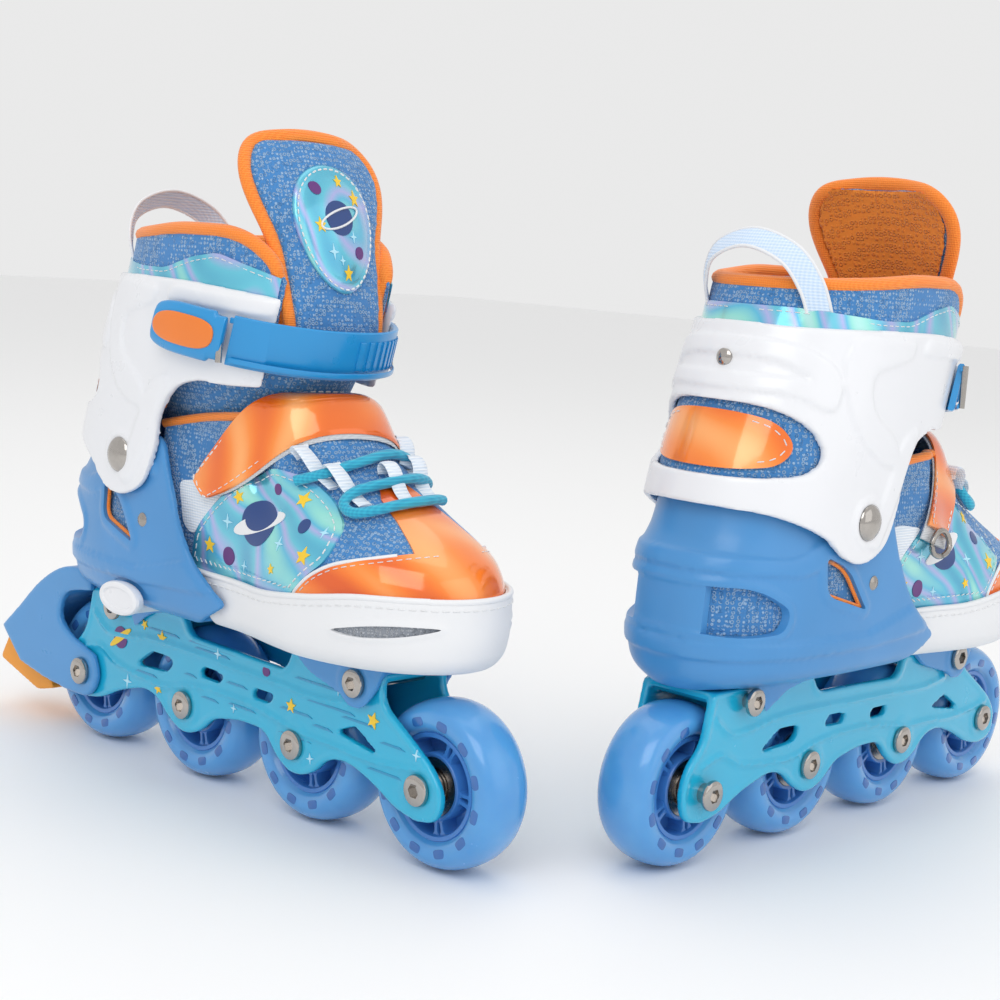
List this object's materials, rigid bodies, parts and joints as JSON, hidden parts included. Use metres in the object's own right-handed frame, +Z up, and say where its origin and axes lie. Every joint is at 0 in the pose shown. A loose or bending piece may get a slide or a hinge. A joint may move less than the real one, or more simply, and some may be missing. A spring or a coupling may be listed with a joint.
{
  "type": "inline skates",
  "caption": "Child's adjustable inline skates, right and left, with hinged cuff, ratchet buckle, laced upper, sliding toe and a heel brake on the right one.",
  "frame": {"origin": "on the ground, at the middle of the overall box of both skates", "axes": "+X is forward for the right skate, +Y is forward for the left skate, +Z is up"},
  "size_m": [0.3792, 0.3671, 0.268],
  "materials": {
    "frame_plastic": "glossy moulded plastic",
    "shell_plastic": "satin moulded plastic",
    "white_plastic": "glossy moulded plastic",
    "buckle_plastic": "smooth moulded plastic",
    "wheel_urethane": "translucent cast urethane",
    "patent_fabric": "coated fabric",
    "strap_fabric": "coated webbing",
    "mesh_fabric": "knitted mesh",
    "lace_fabric": "braided cord",
    "steel": "nickel-plated steel",
    "pad_rubber": "moulded rubber"
  },
  "bodies": {
    "right_boot": {"right_frame": "frame_plastic", "right_heel_shell": "shell_plastic", "right_liner": "mesh_fabric", "right_lateral_pivot_rivet": "steel", "right_medial_pivot_rivet": "steel", "right_rear_frame_bolt": "steel", "right_front_frame_bolt": "steel", "right_bearings_1": "steel", "right_axle_1": "steel", "right_bearings_2": "steel", "right_axle_2": "steel", "right_bearings_3": "steel", "right_axle_3": "steel", "right_bearings_4": "steel", "right_axle_4": "steel", "right_brake_arm": "shell_plastic", "right_brake_pad": "pad_rubber"},
    "right_wheel_body_1": {"right_wheel_1": "wheel_urethane"},
    "right_wheel_body_2": {"right_wheel_2": "wheel_urethane"},
    "right_wheel_body_3": {"right_wheel_3": "wheel_urethane"},
    "right_wheel_body_4": {"right_wheel_4": "wheel_urethane"},
    "right_cuff_body": {"right_cuff": "white_plastic", "right_collar": "mesh_fabric", "right_tongue": "mesh_fabric"},
    "right_toe_body": {"right_toe_shell": "white_plastic", "right_upper": "patent_fabric", "right_power_strap": "strap_fabric", "right_lace": "lace_fabric"},
    "right_lever_body": {"right_buckle_lever": "buckle_plastic"},
    "right_strap_body": {"right_buckle_strap": "buckle_plastic"},
    "right_button_body": {"right_size_button": "white_plastic"},
    "left_boot": {"left_frame": "frame_plastic", "left_heel_shell": "shell_plastic", "left_liner": "mesh_fabric", "left_lateral_pivot_rivet": "steel", "left_medial_pivot_rivet": "steel", "left_rear_frame_bolt": "steel", "left_front_frame_bolt": "steel", "left_bearings_1": "steel", "left_axle_1": "steel", "left_bearings_2": "steel", "left_axle_2": "steel", "left_bearings_3": "steel", "left_axle_3": "steel", "left_bearings_4": "steel", "left_axle_4": "steel"},
    "left_wheel_body_1": {"left_wheel_1": "wheel_urethane"},
    "left_wheel_body_2": {"left_wheel_2": "wheel_urethane"},
    "left_wheel_body_3": {"left_wheel_3": "wheel_urethane"},
    "left_wheel_body_4": {"left_wheel_4": "wheel_urethane"},
    "left_cuff_body": {"left_cuff": "white_plastic", "left_collar": "mesh_fabric", "left_tongue": "mesh_fabric"},
    "left_toe_body": {"left_toe_shell": "white_plastic", "left_upper": "patent_fabric", "left_power_strap": "strap_fabric", "left_lace": "lace_fabric"},
    "left_lever_body": {"left_buckle_lever": "buckle_plastic"},
    "left_strap_body": {"left_buckle_strap": "buckle_plastic"},
    "left_button_body": {"left_size_button": "white_plastic"}
  },
  "joints": [
    {"name": "right_wheel_spin_1", "type": "hinge", "parent": "right_boot", "child": "right_wheel_body_1", "pos_m": [-0.11358, -0.1327, 0.032], "axis": [0, 1, 0], "continuous": true},
    {"name": "right_wheel_spin_2", "type": "hinge", "parent": "right_boot", "child": "right_wheel_body_2", "pos_m": [-0.04308, -0.1327, 0.032], "axis": [0, 1, 0], "continuous": true},
    {"name": "right_wheel_spin_3", "type": "hinge", "parent": "right_boot", "child": "right_wheel_body_3", "pos_m": [0.02742, -0.1327, 0.032], "axis": [0, 1, 0], "continuous": true},
    {"name": "right_wheel_spin_4", "type": "hinge", "parent": "right_boot", "child": "right_wheel_body_4", "pos_m": [0.09792, -0.1327, 0.032], "axis": [0, 1, 0], "continuous": true},
    {"name": "right_cuff_flex", "type": "hinge", "parent": "right_boot", "child": "right_cuff_body", "pos_m": [-0.05883, -0.1327, 0.136], "axis": [0, 1, 0], "range_deg": [-5, 3]},
    {"name": "right_toe_slide", "type": "slide", "parent": "right_boot", "child": "right_toe_body", "axis": [1, 0, 0], "range_m": [0, 0.02]},
    {"name": "right_lever_hinge", "type": "hinge", "parent": "right_cuff_body", "child": "right_lever_body", "pos_m": [0.00167, -0.1757, 0.187], "axis": [0, 0, 1], "range_deg": [0, 80]},
    {"name": "right_strap_swing", "type": "hinge", "parent": "right_cuff_body", "child": "right_strap_body", "pos_m": [0.00767, -0.0925, 0.186], "axis": [0, 0, 1], "range_deg": [0, 60]},
    {"name": "right_button_press", "type": "slide", "parent": "right_boot", "child": "right_button_body", "axis": [0, 1, 0], "range_m": [0, 0.0015], "stiffness_N_per_m": 400, "springref_m": -0.001},
    {"name": "left_skate_lift", "type": "slide", "parent": "right_boot", "child": "left_boot", "axis": [0, 0, 1], "range_m": [0, 0.2]},
    {"name": "left_wheel_spin_1", "type": "hinge", "parent": "left_boot", "child": "left_wheel_body_1", "pos_m": [0.14317, -0.06045, 0.032], "axis": [1, 0, 0], "continuous": true},
    {"name": "left_wheel_spin_2", "type": "hinge", "parent": "left_boot", "child": "left_wheel_body_2", "pos_m": [0.14317, 0.01005, 0.032], "axis": [1, 0, 0], "continuous": true},
    {"name": "left_wheel_spin_3", "type": "hinge", "parent": "left_boot", "child": "left_wheel_body_3", "pos_m": [0.14317, 0.08055, 0.032], "axis": [1, 0, 0], "continuous": true},
    {"name": "left_wheel_spin_4", "type": "hinge", "parent": "left_boot", "child": "left_wheel_body_4", "pos_m": [0.14317, 0.15105, 0.032], "axis": [1, 0, 0], "continuous": true},
    {"name": "left_cuff_flex", "type": "hinge", "parent": "left_boot", "child": "left_cuff_body", "pos_m": [0.14317, -0.0057, 0.136], "axis": [-1, 0, 0], "range_deg": [-5, 3]},
    {"name": "left_toe_slide", "type": "slide", "parent": "left_boot", "child": "left_toe_body", "axis": [0, 1, 0], "range_m": [0, 0.02]},
    {"name": "left_lever_hinge", "type": "hinge", "parent": "left_cuff_body", "child": "left_lever_body", "pos_m": [0.10017, 0.0548, 0.187], "axis": [0, 0, -1], "range_deg": [0, 80]},
    {"name": "left_strap_swing", "type": "hinge", "parent": "left_cuff_body", "child": "left_strap_body", "pos_m": [0.18337, 0.0608, 0.186], "axis": [0, 0, -1], "range_deg": [0, 60]},
    {"name": "left_button_press", "type": "slide", "parent": "left_boot", "child": "left_button_body", "axis": [1, 0, 0], "range_m": [0, 0.0015], "stiffness_N_per_m": 400, "springref_m": -0.001}
  ]
}
